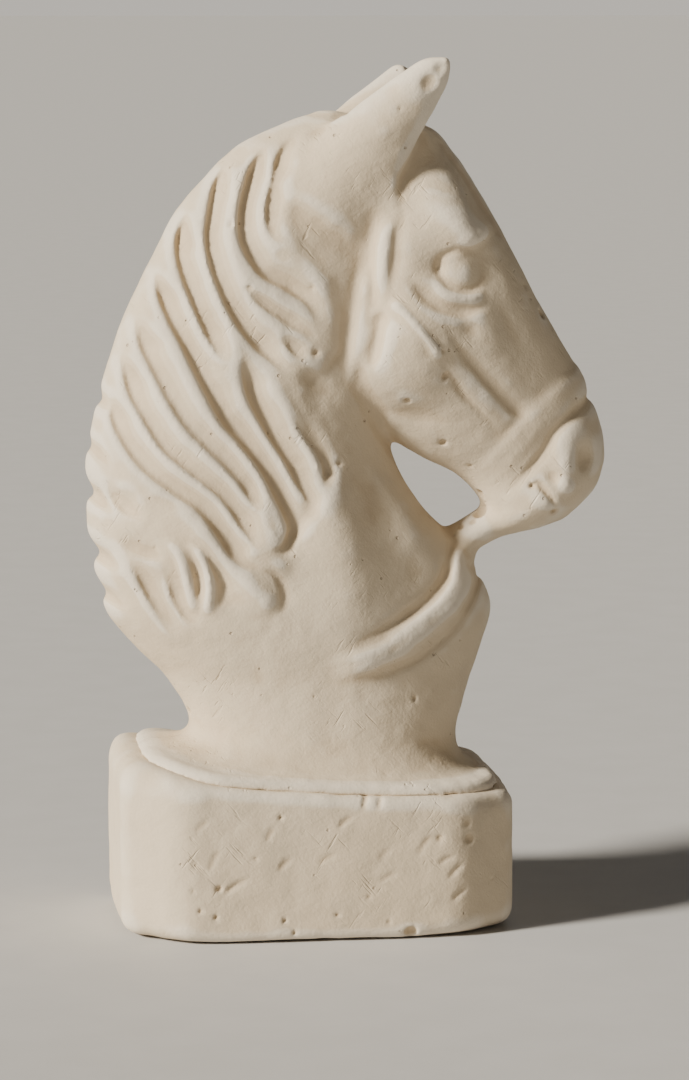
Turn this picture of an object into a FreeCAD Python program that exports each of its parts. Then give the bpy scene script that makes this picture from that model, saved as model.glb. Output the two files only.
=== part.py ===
"""A giant chess knight: a hollow plaster horse's head, with bridle and mane, on a plaster plinth.

The head is cast as two shells that meet on the plane Y = 0, each with half of the foot that it
stands on.  A steel mast is bolted through the plinth and rises to the poll, and an arm lashed to
it reaches down into the muzzle.  Plaster wads bond both to the shells.  Millimetres, +Z up, +X the
way the horse looks.  The origin is under the middle of the plinth, on the surface it stands on.
"""
import FreeCAD
import Part
import Sketcher

import math
import os

DIMENSIONS = [
    ("plinth_length", 206.0),
    ("plinth_depth", 136.0),
    ("corner_along", 33.0),
    ("corner_across", 22.0),
    ("corner_round", 17.0),
    ("top_round", 5.0),
    ("foot_round", 3.0),
    ("top_curve_radius", 1130.0),
    ("top_lowest_place", 84.0),
    ("top_lowest_height", 73.2),
    ("felt_thickness", 2.0),
    ("felt_margin", 8.0),
    ("cap_margin", 8.0),
    ("cap_edge", 7.5),
    ("cap_round", 2.5),
    ("shell_wall", 14.0),
    ("mast_diameter", 10.0),
    ("mast_place", -8.0),
    ("mast_bottom", 9.0),
    ("mast_top", 384.0),
    ("mast_clearance", 0.5),
    ("arm_diameter", 6.0),
    ("arm_top", 378.0),
    ("arm_bend", 322.0),
    ("arm_bend_radius", 30.0),
    ("pocket_diameter", 34.0),
    ("pocket_depth", 24.0),
    ("washer_diameter", 30.0),
    ("washer_thickness", 2.5),
    ("nut_across_flats", 16.0),
    ("nut_height", 8.0),
    ("pin_diameter", 4.0),
    ("pin_length", 40.0),
    ("dowel_diameter", 8.0),
    ("dowel_length", 34.0),
    ("dowel_bottom", 56.0),
    ("dowel_place_along", 42.0),
    ("dowel_place_across", 30.0),
    ("ear_wire_diameter", 2.5),
    ("chin_wire_diameter", 3.0),
    ("lashing_diameter", 1.6),
    ("foot_height", 97.0),
    ("blank_height", 100.0),
    ("foot_blank_bottom", 50.0),
    ("mast_hole_height", 200.0),
    ("eye_radius", 14.0),
    ("ear_wire_length", 60.0),
    ("chin_wire_length", 42.0),
]

doc = FreeCAD.newDocument("chess_knight")
sheet = doc.addObject("Spreadsheet::Sheet", "sizes")
for row, (alias, value) in enumerate(DIMENSIONS, start=1):
    sheet.set(f"A{row}", alias)
    sheet.set(f"B{row}", str(value))
    sheet.setAlias(f"B{row}", alias)
doc.recompute()

V = FreeCAD.Vector
UP = V(0, 0, 1)
ACROSS = V(0, 1, 0)
CLOSE = 0.01
UNSOLVED = 50.0


def size(alias):
    """A driving dimension, in millimetres."""
    return float(getattr(sheet, alias))


def bind(obj, **formulas):
    """Binds an object's properties to the sheet.  A formula names the sheet's cells."""
    for name, formula in formulas.items():
        obj.setExpression(name, formula)
    return obj


def place(obj, at, towards=UP):
    """Puts an object at a point, with its own Z axis along a direction."""
    obj.Placement = FreeCAD.Placement(at, FreeCAD.Rotation(UP, towards))
    return obj


def feature(shape, name):
    """A shape that Part's own functions made, as an object of the document."""
    obj = doc.addObject("Part::Feature", name)
    obj.Shape = shape
    return obj


def cylinder(name, radius, height, at, towards=UP):
    obj = doc.addObject("Part::Cylinder", name)
    return place(bind(obj, Radius=radius, Height=height), at, towards)


def box(name, low, high):
    obj = doc.addObject("Part::Box", name)
    obj.Length, obj.Width, obj.Height = high - low
    obj.Placement.Base = low
    return obj


def fuse(name, objects):
    obj = doc.addObject("Part::MultiFuse", name)
    obj.Shapes = list(objects)
    return obj


def common(name, objects):
    obj = doc.addObject("Part::MultiCommon", name)
    obj.Shapes = list(objects)
    return obj


def cut(name, base, tools):
    """A Part::Cut of one object by another, or by the fusion of several."""
    obj = doc.addObject("Part::Cut", name)
    obj.Base = base
    obj.Tool = tools[0] if len(tools) == 1 else fuse(f"{name}_tools", tools)
    return obj


def loft(name, wires):
    """A smooth solid through closed wires."""
    obj = doc.addObject("Part::Loft", name)
    obj.Sections = [feature(wire, f"{name}_section") for wire in wires]
    obj.Solid = True
    return obj


def group(name, objects):
    """Separate solids that share one node."""
    obj = doc.addObject("Part::Compound", name)
    obj.Links = list(objects)
    return obj


# ------------------------------------------------------------ plinth, foot and felt

def corner_cut_block(name, margin, bottom, height):
    """A PartDesign body: a block with its four corners cut and rounded, inset by a margin."""
    body = doc.addObject("PartDesign::Body", name)
    plane = next(f for f in body.Origin.OriginFeatures if f.Role == "XY_Plane")
    sketch = body.newObject("Sketcher::SketchObject", f"{name}_outline")
    sketch.AttachmentSupport = [(plane, "")]
    sketch.MapMode = "FlatFace"
    half_x, half_y = size("plinth_length") / 2, size("plinth_depth") / 2
    end_y, side_x = half_y - size("corner_across"), half_x - size("corner_along")
    corners = [(-side_x, -half_y), (side_x, -half_y), (half_x, -end_y), (half_x, end_y),
               (side_x, half_y), (-side_x, half_y), (-half_x, end_y), (-half_x, -end_y)]
    ends = corners[1:] + corners[:1]
    for start, end in zip(corners, ends):
        sketch.addGeometry(Part.LineSegment(V(*start, 0), V(*end, 0)), False)
    near, front, far, rear = 0, 2, 4, 6
    for line in range(8):
        sketch.addConstraint(Sketcher.Constraint("Coincident", line, 2, (line + 1) % 8, 1))
    for line, axis in ((near, -2), (far, -2), (front, -1), (rear, -1)):
        sketch.addConstraint(Sketcher.Constraint("Symmetric", line, 1, line, 2, axis))
    sketch.addConstraint(Sketcher.Constraint("Equal", near, far))
    sketch.addConstraint(Sketcher.Constraint("Equal", front, rear))
    half_length = f"sizes.plinth_length / 2 - {margin}"
    half_depth = f"sizes.plinth_depth / 2 - {margin}"
    measured = [
        ("DistanceX", (near, 1), (near, 2), f"2 * ({half_length}) - 2 * sizes.corner_along"),
        ("DistanceY", (front, 1), (front, 2), f"2 * ({half_depth}) - 2 * sizes.corner_across"),
        ("DistanceX", (-1, 1), (front, 1), half_length),
        ("DistanceX", (rear, 1), (-1, 1), half_length),
        ("DistanceY", (near, 1), (-1, 1), half_depth),
        ("DistanceY", (-1, 1), (far, 1), half_depth),
    ]
    for kind, start, end, formula in measured:
        index = sketch.addConstraint(Sketcher.Constraint(kind, *start, *end, UNSOLVED))
        sketch.setExpression(f"Constraints[{index}]", formula)
    pad = body.newObject("PartDesign::Pad", f"{name}_pad")
    pad.Profile = sketch
    bind(pad, Length=height)
    doc.recompute()
    upright = [f"Edge{i}" for i, edge in enumerate(pad.Shape.Edges, start=1)
               if edge.BoundBox.ZLength > CLOSE]
    rounded = body.newObject("PartDesign::Fillet", f"{name}_corners")
    rounded.Base = (pad, upright)
    bind(rounded, Radius=f"sizes.corner_round - {margin} / 2")
    body.setExpression("Placement.Base.z", bottom)
    return body


def rounded_rim(name, base, alias, is_rim):
    """A Part::Fillet of the edges that a test picks out."""
    doc.recompute()
    obj = doc.addObject("Part::Fillet", name)
    obj.Base = base
    radius = size(alias)
    obj.Edges = [(i, radius, radius) for i, edge in enumerate(base.Shape.Edges, start=1)
                 if is_rim(edge)]
    return obj


def hollow_top(name, lift):
    """A large cylinder across the plinth.  Its lowest part is the curved top, lifted by so much."""
    obj = cylinder(name, "sizes.top_curve_radius", "2 * sizes.plinth_depth", V(0, 0, 0), ACROSS)
    centre = size("top_lowest_height") + lift + size("top_curve_radius")
    obj.Placement.Base = V(size("top_lowest_place"), -size("plinth_depth"), centre)
    return obj


def is_low(edge):
    return edge.BoundBox.ZMax < size("felt_thickness") + CLOSE


def is_high(edge):
    return edge.BoundBox.ZMin > size("top_lowest_height") - size("foot_round")


mast_at = V(size("mast_place"), 0, size("mast_bottom"))
block = corner_cut_block("block", "0", "sizes.felt_thickness", "sizes.blank_height")
plinth_top = hollow_top("plinth_top", 0)
topped = cut("topped_block", block, [plinth_top])
soft_top = rounded_rim("block_top_edge", topped, "top_round", is_high)
soft_block = rounded_rim("block_foot_edge", soft_top, "foot_round", is_low)

mast_hole = cylinder("mast_hole", "sizes.mast_diameter / 2 + sizes.mast_clearance",
                     "sizes.mast_hole_height", V(mast_at.x, 0, 0))
nut_pocket = cylinder("nut_pocket", "sizes.pocket_diameter / 2", "sizes.pocket_depth",
                      V(mast_at.x, 0, size("felt_thickness")))
dowels = []
for name, side in (("rear_dowel", -1), ("front_dowel", 1)):
    at = V(side * size("dowel_place_along"), side * size("dowel_place_across"),
           size("dowel_bottom"))
    dowels.append(cylinder(name, "sizes.dowel_diameter / 2", "sizes.dowel_length", at))
plinth_block = cut("plinth_block", soft_block, [mast_hole, nut_pocket] + dowels)

base_felt = corner_cut_block("base_felt", "sizes.felt_margin", "0", "sizes.felt_thickness")

foot_slab = corner_cut_block("foot_slab", "sizes.cap_margin", "sizes.foot_blank_bottom",
                             "sizes.blank_height")
foot_top = hollow_top("foot_top", size("cap_edge"))
foot_plate = cut("foot_plate", foot_slab, [foot_top])
soft_foot = rounded_rim("foot_edge", foot_plate, "cap_round", is_high)

# ------------------------------------------------------------ sections of the horse


def rounded_wire(centre, along, a, b, power, count=20):
    """A closed smooth wire.  Its half size is a along one direction and b across the horse."""
    points = []
    for i in range(count):
        turn = 2 * math.pi * i / count
        c, s = math.cos(turn), math.sin(turn)
        u = a * math.copysign(abs(c) ** (2 / power), c)
        v = b * math.copysign(abs(s) ** (2 / power), s)
        points.append(centre + along * u + ACROSS * v)
    curve = Part.BSplineCurve()
    curve.interpolate(points, PeriodicFlag=True)
    return Part.Wire([curve.toShape()])


# The mound that the neck stands on, and the level slices of the neck:
# height, rear, front, half width, squareness.  Forms overlap their neighbours, so each table starts
# inside the form below it.
MOUND = [
    (70, -91, 90, 60, 3.6),
    (82, -89, 88, 57, 3.5),
    (89, -80, 85, 51, 3.0),
    (96, -68, 81, 45, 2.6),
    (104, -62, 79, 40, 2.3),
]
NECK = [
    (80, -64, 82, 43, 2.3),
    (97, -61, 80, 42, 2.3),
    (113, -64, 84, 41, 2.3),
    (129, -75, 89, 41, 2.2),
    (146, -92, 94, 43, 2.2),
    (163, -105, 99, 44, 2.2),
    (182, -112, 93, 45, 2.2),
    (203, -115, 81, 45, 2.2),
    (220, -117, 65, 44, 2.2),
    (238, -116, 51, 43, 2.2),
    (256, -114, 44, 42, 2.2),
    (284, -107, 46, 40, 2.2),
    (312, -97, 50, 38, 2.2),
    (342, -83, 54, 36, 2.2),
    (370, -69, 54, 33, 2.2),
    (394, -46, 52, 28, 2.2),
    (410, -24, 48, 21, 2.2),
    (421, 2, 38, 10, 2.2),
]

# Slices square to the face: distance down the face from the forehead, how far the face and the
# jaw stand out from the straight line of the face, half width, squareness.
FOREHEAD = V(77, 0, 400)
DOWN = V(0.509, 0, -0.861).normalize()
OUT = V(0.861, 0, 0.509).normalize()
HEAD = [
    (-42, -34, -52, 8, 2.2),
    (-34, -19, -58, 20, 2.3),
    (-20, -5, -62, 29, 2.4),
    (0, 0, -66, 35, 2.5),
    (24, 1, -78, 38, 2.6),
    (46, 1, -96, 41, 2.6),
    (66, 0, -112, 42, 2.5),
    (88, -1, -112, 39, 2.4),
    (110, -1, -104, 34, 2.4),
    (128, -1, -93, 29, 2.4),
    (142, -2, -84, 26, 2.4),
    (157, -4, -80, 25, 2.4),
    (170, -8, -79, 26, 2.4),
    (181, -15, -79, 24, 2.3),
    (189, -25, -68, 18, 2.2),
    (194, -37, -55, 8, 2.1),
]


def neck_slice(z, rear, front, width, power, wall=0.0):
    centre = V((rear + front) / 2, 0, z)
    return rounded_wire(centre, V(1, 0, 0), (front - rear) / 2 - wall, width - wall, power)


def head_slice(t, face, jaw, width, power, wall=0.0):
    return rounded_wire(on_head(t, (face + jaw) / 2), OUT, (face - jaw) / 2 - wall,
                        width - wall, power)


def on_head(t, offset, y=0.0):
    """A point: its distance down the face, how far it stands out, and its place across."""
    return FOREHEAD + DOWN * t + OUT * offset + ACROSS * y


WALL = size("shell_wall")
mound_form = loft("mound_form", [neck_slice(*s) for s in MOUND])
neck_form = loft("neck_form", [neck_slice(*s) for s in NECK])
head_form = loft("head_form", [head_slice(*s) for s in HEAD])
neck_core = loft("neck_core", [neck_slice(*s, wall=WALL) for s in NECK[1:-2]])
head_core = loft("head_core", [head_slice(*s, wall=WALL) for s in HEAD[4:-3]])

# ------------------------------------------------------------ ears, eyes, noseband and chin strut

EAR_ROOT = V(26, 20, 386)
EAR_TIP = V(67, 29, 450)
# Slices square to the ear: share of its length, half size fore and aft, half thickness.
EAR = [(0.0, 21, 12), (0.28, 19, 12), (0.52, 16, 11), (0.74, 12, 9), (0.9, 8, 6), (0.99, 4, 3)]
EAR_OPENING = V(16, 0, -4)
EAR_OPENING_SIZE = 0.62
# The armature wires start a little way along the ear or the strut that they stiffen.
WIRE_START = 0.02
EYE_AT = (50, -26, 30)


def ear_axis(side):
    """An ear's root, and the line from its root to its tip."""
    root = V(EAR_ROOT.x, side * EAR_ROOT.y, EAR_ROOT.z)
    tip = V(EAR_TIP.x, side * EAR_TIP.y, EAR_TIP.z)
    return root, tip - root


def ear(name, side, scale=1.0, shift=V(0, 0, 0)):
    """A leaf-shaped ear that leans forward.  side is -1 for the near ear, 1 for the far one."""
    root, line = ear_axis(side)
    fore = ACROSS.cross(line).normalize()
    wires = [rounded_wire(root + shift + line * share, fore, a * scale, b * scale, 2.0, 16)
             for share, a, b in EAR]
    return loft(name, wires)


ears = []
ear_openings = []
ear_wires = []
eyes = []
for word, side in (("near", -1), ("far", 1)):
    ears.append(ear(f"{word}_ear", side))
    ear_openings.append(ear(f"{word}_ear_opening", side, EAR_OPENING_SIZE, EAR_OPENING))
    root, line = ear_axis(side)
    ear_wires.append(cylinder(f"{word}_ear_wire", "sizes.ear_wire_diameter / 2",
                              "sizes.ear_wire_length", root + line * WIRE_START, line))
    eye = bind(doc.addObject("Part::Sphere", f"{word}_eye"), Radius="sizes.eye_radius")
    down_face, out_of_face, across = EYE_AT
    eye.Placement.Base = on_head(down_face, out_of_face, across * side)
    eyes.append(eye)

# The noseband's two edges down the face, and its slice, in the same terms as the head's.
NOSEBAND_EDGES = (143, 153)
NOSEBAND_SLICE = (-1, -83, 28.5, 2.4)
noseband = loft("noseband", [head_slice(t, *NOSEBAND_SLICE) for t in NOSEBAND_EDGES])

STRUT_FROM = V(72, 0, 190)
STRUT_TO = V(108, 0, 216)
strut_line = STRUT_TO - STRUT_FROM
strut_up = ACROSS.cross(strut_line).normalize()
# Slices of the strut: share of its length, half size in the side view, half width.
STRUT = [(0.0, 15, 15), (0.45, 8, 11), (1.0, 12, 14)]
chin_strut = loft("chin_strut", [rounded_wire(STRUT_FROM + strut_line * share, strut_up, a, b, 2, 12)
                                 for share, a, b in STRUT])
chin_wire = cylinder("chin_wire", "sizes.chin_wire_diameter / 2", "sizes.chin_wire_length",
                     STRUT_FROM + strut_line * WIRE_START, strut_line)

# ------------------------------------------------------------ the two shells

head_mass = fuse("head_mass", [mound_form, neck_form, head_form, chin_strut, noseband] + ears + eyes)
standing = common("standing_mass", [head_mass, hollow_top("foot_bottom", 0)])
foot_over = common("foot_over_plinth", [soft_foot, hollow_top("foot_underside", 0)])
bust_mass = fuse("bust_mass", [standing, foot_over])
hollow = fuse("hollow", [neck_core, head_core])
bust = cut("bust", bust_mass, [hollow, mast_hole, chin_wire] + dowels + ear_wires + ear_openings)

REACH = 500
near_shell = common("near_shell", [bust, box("near_side", V(-REACH, -REACH, 0), V(REACH, 0, REACH))])
far_shell = common("far_shell", [bust, box("far_side", V(-REACH, 0, 0), V(REACH, REACH, REACH))])

# ------------------------------------------------------------ mast, arm, lashings and pins

mast_rod = cylinder("mast_rod", "sizes.mast_diameter / 2", "sizes.mast_top - sizes.mast_bottom",
                    mast_at)
PIN_HEIGHTS = (158, 262)
cross_pin_list = [
    cylinder("cross_pin", "sizes.pin_diameter / 2", "sizes.pin_length",
             V(mast_at.x, -size("pin_length") / 2, z), ACROSS)
    for z in PIN_HEIGHTS
]
mast = cut("mast", mast_rod, cross_pin_list)
cross_pins = group("cross_pins", cross_pin_list)

ARM_GAP = 0.2
arm_x = mast_at.x + size("mast_diameter") / 2 + size("arm_diameter") / 2 + ARM_GAP
arm_end = on_head(152, -42)


def arm_path():
    """A straight run beside the mast, a bend, and a straight run to the muzzle."""
    top, bend = V(arm_x, 0, size("arm_top")), V(arm_x, 0, size("arm_bend"))
    down, forward = (bend - top).normalize(), (arm_end - bend).normalize()
    half_turn = down.getAngle(forward) / 2
    back_off = size("arm_bend_radius") * math.tan(half_turn)
    start, end = bend - down * back_off, bend + forward * back_off
    inward = (forward - down).normalize()
    centre = bend + inward * (size("arm_bend_radius") / math.cos(half_turn))
    middle = centre - inward * size("arm_bend_radius")
    return Part.Wire([Part.LineSegment(top, start).toShape(),
                      Part.Arc(start, middle, end).toShape(),
                      Part.LineSegment(end, arm_end).toShape()])


def round_wire_along(name, path, start, towards, diameter):
    """A round bar swept along a path."""
    section = Part.Wire([Part.makeCircle(diameter / 2, start, towards)])
    obj = doc.addObject("Part::Sweep", name)
    obj.Sections = [feature(section, f"{name}_section")]
    obj.Spine = feature(path, f"{name}_path")
    obj.Solid = True
    obj.Frenet = True
    return obj


muzzle_arm = round_wire_along("muzzle_arm", arm_path(), V(arm_x, 0, size("arm_top")), UP,
                              size("arm_diameter"))


def lashing_path(z):
    """A closed loop round the mast and the arm: an arc round each, joined by straight runs."""
    play = 0.1
    slack = size("lashing_diameter") / 2 + play
    big, small = size("mast_diameter") / 2 + slack, size("arm_diameter") / 2 + slack
    between = arm_x - mast_at.x
    lean = math.acos((big - small) / between)
    side = V(math.cos(lean), math.sin(lean), 0)
    other = V(side.x, -side.y, 0)
    mast_middle, arm_middle = V(mast_at.x, 0, z), V(arm_x, 0, z)
    round_mast = Part.Arc(mast_middle + side * big, mast_middle - V(big, 0, 0),
                          mast_middle + other * big)
    round_arm = Part.Arc(arm_middle + other * small, arm_middle + V(small, 0, 0),
                         arm_middle + side * small)
    return Part.Wire([
        round_mast.toShape(),
        Part.LineSegment(mast_middle + other * big, arm_middle + other * small).toShape(),
        round_arm.toShape(),
        Part.LineSegment(arm_middle + side * small, mast_middle + side * big).toShape(),
    ])


LASHING_HEIGHTS = (343, 352)
lashing_list = []
for z in LASHING_HEIGHTS:
    path = lashing_path(z)
    start = path.Vertexes[0].Point
    tangent = path.Edges[0].tangentAt(path.Edges[0].FirstParameter)
    lashing_list.append(round_wire_along("lashing", path, start, tangent, size("lashing_diameter")))
lashings = group("lashings", lashing_list)

# ------------------------------------------------------------ nuts, washers and small groups

bore = "sizes.mast_diameter / 2 + sizes.mast_clearance"


def washer(name, z):
    """A plain washer on the mast, from a height up."""
    plate = cylinder(f"{name}_plate", "sizes.washer_diameter / 2", "sizes.washer_thickness",
                     V(mast_at.x, 0, z))
    hole = cylinder(f"{name}_hole", bore, "sizes.washer_thickness", V(mast_at.x, 0, z))
    return cut(name, plate, [hole])


def hex_nut(name, z):
    """A hexagon nut on the mast, from a height up.  Its bore is the mast's own diameter."""
    prism = doc.addObject("Part::Prism", f"{name}_prism")
    prism.Polygon = 6
    bind(prism, Circumradius="sizes.nut_across_flats / sqrt(3)", Height="sizes.nut_height")
    prism.Placement.Base = V(mast_at.x, 0, z)
    hole = cylinder(f"{name}_hole", "sizes.mast_diameter / 2", "sizes.nut_height",
                    V(mast_at.x, 0, z))
    return cut(name, prism, [hole])


pocket_ceiling = size("felt_thickness") + size("pocket_depth")
lower_washer_z = pocket_ceiling - size("washer_thickness")
lower_washer = washer("lower_washer", lower_washer_z)
lower_nut = hex_nut("lower_nut", lower_washer_z - size("nut_height"))
upper_washer = washer("upper_washer", size("foot_height"))
upper_nut = hex_nut("upper_nut", size("foot_height") + size("washer_thickness"))
locating_dowels = group("locating_dowels", dowels)
ear_armatures = group("ear_armatures", ear_wires)

# ------------------------------------------------------------ plaster wads that bond the steel

# Each wad fills the hollow between two heights; the muzzle's lies between two distances down the
# face.
NECK_WAD = (144, 172)
CREST_WAD = (250, 274)
CREST_WAD_FRONT = 40
POLL_WAD = (358, 376)
MUZZLE_WAD = (138, 160)
MUZZLE_SLICE = (20, -100, 60, 2.2)


def level_fill(name, heights, front=REACH):
    """What lies inside the neck's hollow between two heights, back to a front face."""
    low, high = heights
    slab = box(f"{name}_slab", V(-REACH, -REACH, low), V(front, REACH, high))
    return common(f"{name}_fill", [neck_core, slab])


neck_wad = cut("neck_wad", level_fill("neck", NECK_WAD), [mast_rod, cross_pin_list[0]])
crest_wad = cut("crest_wad", level_fill("crest", CREST_WAD, CREST_WAD_FRONT),
                [mast_rod, cross_pin_list[1]])
poll_wad = cut("poll_wad", level_fill("poll", POLL_WAD), [mast_rod, muzzle_arm])
muzzle_slab = loft("muzzle_slab", [head_slice(t, *MUZZLE_SLICE) for t in MUZZLE_WAD])
muzzle_fill = common("muzzle_fill", [head_core, muzzle_slab])
muzzle_wad = cut("muzzle_wad", muzzle_fill, [muzzle_arm])

# ------------------------------------------------------------ labels, tests and export

NODES = {
    "plinth_block": plinth_block,
    "base_felt": base_felt,
    "near_shell": near_shell,
    "far_shell": far_shell,
    "mast": mast,
    "muzzle_arm": muzzle_arm,
    "lashings": lashings,
    "cross_pins": cross_pins,
    "upper_washer": upper_washer,
    "upper_nut": upper_nut,
    "lower_washer": lower_washer,
    "lower_nut": lower_nut,
    "locating_dowels": locating_dowels,
    "ear_armatures": ear_armatures,
    "chin_wire": chin_wire,
    "neck_wad": neck_wad,
    "crest_wad": crest_wad,
    "poll_wad": poll_wad,
    "muzzle_wad": muzzle_wad,
}
for name, obj in NODES.items():
    obj.Label = name

doc.recompute()
for obj in doc.Objects:
    if "Invalid" in obj.State or "Error" in obj.State:
        raise RuntimeError(f"{obj.Name} failed: {obj.State}")
for name, obj in NODES.items():
    shape = obj.Shape
    if shape.isNull() or not shape.isValid() or not shape.Solids:
        raise RuntimeError(f"{name} has no valid solid")
    extent = shape.optimalBoundingBox(False, False)
    print(f"{name}: {len(shape.Solids)} solid(s), {shape.Volume / 1000:.1f} cm3, "
          f"X {extent.XMin:.1f}..{extent.XMax:.1f}, Y {extent.YMin:.1f}..{extent.YMax:.1f}, "
          f"Z {extent.ZMin:.1f}..{extent.ZMax:.1f}")

os.makedirs("parts", exist_ok=True)
for name, obj in NODES.items():
    obj.Shape.exportStep(f"parts/{name}.step")
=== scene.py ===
import math

import bmesh
import bpy
import numpy as np
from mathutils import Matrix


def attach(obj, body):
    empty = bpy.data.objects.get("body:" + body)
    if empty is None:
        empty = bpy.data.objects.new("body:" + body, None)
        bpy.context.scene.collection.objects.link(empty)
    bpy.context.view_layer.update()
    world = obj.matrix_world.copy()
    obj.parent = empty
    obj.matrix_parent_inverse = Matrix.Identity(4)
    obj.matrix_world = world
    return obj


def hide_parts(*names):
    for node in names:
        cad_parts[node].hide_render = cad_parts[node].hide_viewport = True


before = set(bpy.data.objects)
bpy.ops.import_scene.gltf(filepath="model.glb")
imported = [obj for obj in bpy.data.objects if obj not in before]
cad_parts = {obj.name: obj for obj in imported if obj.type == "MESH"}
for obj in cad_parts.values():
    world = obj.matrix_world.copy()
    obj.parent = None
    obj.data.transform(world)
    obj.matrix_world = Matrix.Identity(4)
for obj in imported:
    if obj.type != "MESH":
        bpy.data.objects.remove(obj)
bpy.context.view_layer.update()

import openvdb
from mathutils import Vector

# The looks of the plaster knight.
#
# The two shells of the horse and the plinth are sculpted as distance fields, in millimetres, on a
# fine lattice, and turned into meshes.  A field is negative inside the plaster.  Everything that is
# cut or raised on the side of the horse is drawn once, as lines seen from the side, and both sides
# share it.  The steel, wood and felt keep their CAD shape and only get better materials.

MM = 0.001

# ---------- lattice and field tools

SHELL_STEP = 1.35
PLINTH_STEP = 1.15


def lattice(low, high, step):
    """Three broadcastable axes of a box of points, in millimetres."""
    axes = []
    for i, (a, b) in enumerate(zip(low, high)):
        count = int(round((b - a) / step)) + 1
        line = (a + step * np.arange(count)).astype(np.float32)
        axes.append(line.reshape([-1 if j == i else 1 for j in range(3)]))
    return axes


def smooth_step(value, start, end):
    t = np.clip((value - start) / (end - start), 0.0, 1.0)
    return t * t * (3.0 - 2.0 * t)


def join(a, b, k):
    """The union of two fields with a fillet of about k millimetres."""
    blend = np.maximum(k - np.abs(a - b), 0.0)
    return np.minimum(a, b) - blend * blend / (4.0 * k)


def carve(a, b, k):
    """Field a with field b taken away, with an edge softened by about k millimetres."""
    return -join(-a, b, k)


def meet(a, b, k):
    """What is in both fields, with an edge rounded by about k millimetres."""
    return -join(-a, -b, k)


def through(stations, values, at):
    """A smooth curve through stations, read at other places."""
    s = np.asarray(stations, float)
    v = np.asarray(values, float)
    slope = np.gradient(v, s)
    at = np.clip(at, s[0], s[-1])
    i = np.clip(np.searchsorted(s, at, side="right") - 1, 0, len(s) - 2)
    gap = s[i + 1] - s[i]
    t = (at - s[i]) / gap
    t2, t3 = t * t, t * t * t
    return ((2 * t3 - 3 * t2 + 1) * v[i] + (t3 - 2 * t2 + t) * gap * slope[i]
            + (3 * t2 - 2 * t3) * v[i + 1] + (t3 - t2) * gap * slope[i + 1])


# The least slope, per millimetre, that a shape function is taken to have.
LEAST_SLOPE = 0.004


def to_distance(shape, step, reach):
    """Turns a shape function, zero on the surface, into a distance near that surface."""
    gx, gy, gz = np.gradient(shape, step)
    steep = np.sqrt(gx * gx + gy * gy + gz * gz)
    return np.clip(shape / np.maximum(steep, LEAST_SLOPE), -reach, reach)


def ripple(shape, cells, seed):
    """Smooth noise from -1 to 1 over a lattice, with about so many points to a cell."""
    draw = np.random.default_rng(seed)
    noise = draw.uniform(-1, 1, [int(n / cells) + 3 for n in shape]).astype(np.float32)
    for axis, n in enumerate(shape):
        place = np.arange(n) / cells
        i = place.astype(int)
        t = smooth_step(place - i, 0.0, 1.0).astype(np.float32)
        t = t.reshape([-1 if j == axis else 1 for j in range(3)])
        noise = np.take(noise, i, axis) * (1 - t) + np.take(noise, i + 1, axis) * t
    return noise


# ---------- relief drawn from the side


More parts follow.
